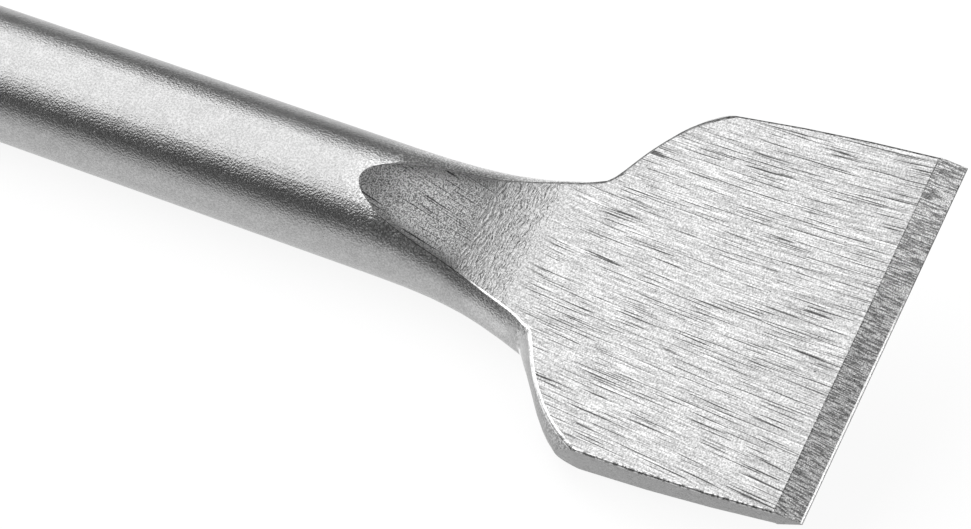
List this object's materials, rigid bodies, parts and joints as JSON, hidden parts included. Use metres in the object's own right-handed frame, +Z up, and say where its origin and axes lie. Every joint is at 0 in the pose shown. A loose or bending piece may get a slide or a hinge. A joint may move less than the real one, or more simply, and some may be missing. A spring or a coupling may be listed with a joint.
{
  "type": "sds chisel",
  "caption": "Cranked wide flat chisel for a rotary hammer: round bar with a grooved quick-change shank, forged neck, angled spade blade and ground edge.",
  "frame": {"origin": "on the bar's axis, at the plane where the shank goes into its holder, 40 mm from the struck end", "axes": "+X along the bar towards the cutting edge, +Z up from the floor the chisel lies on, hollow side up; Y across"},
  "size_m": [0.25, 0.0405, 0.025],
  "materials": {
    "steel": "forged and shot-blasted bar, ground blade face and edge"
  },
  "bodies": {
    "root": {"chisel": "steel"}
  },
  "joints": []
}
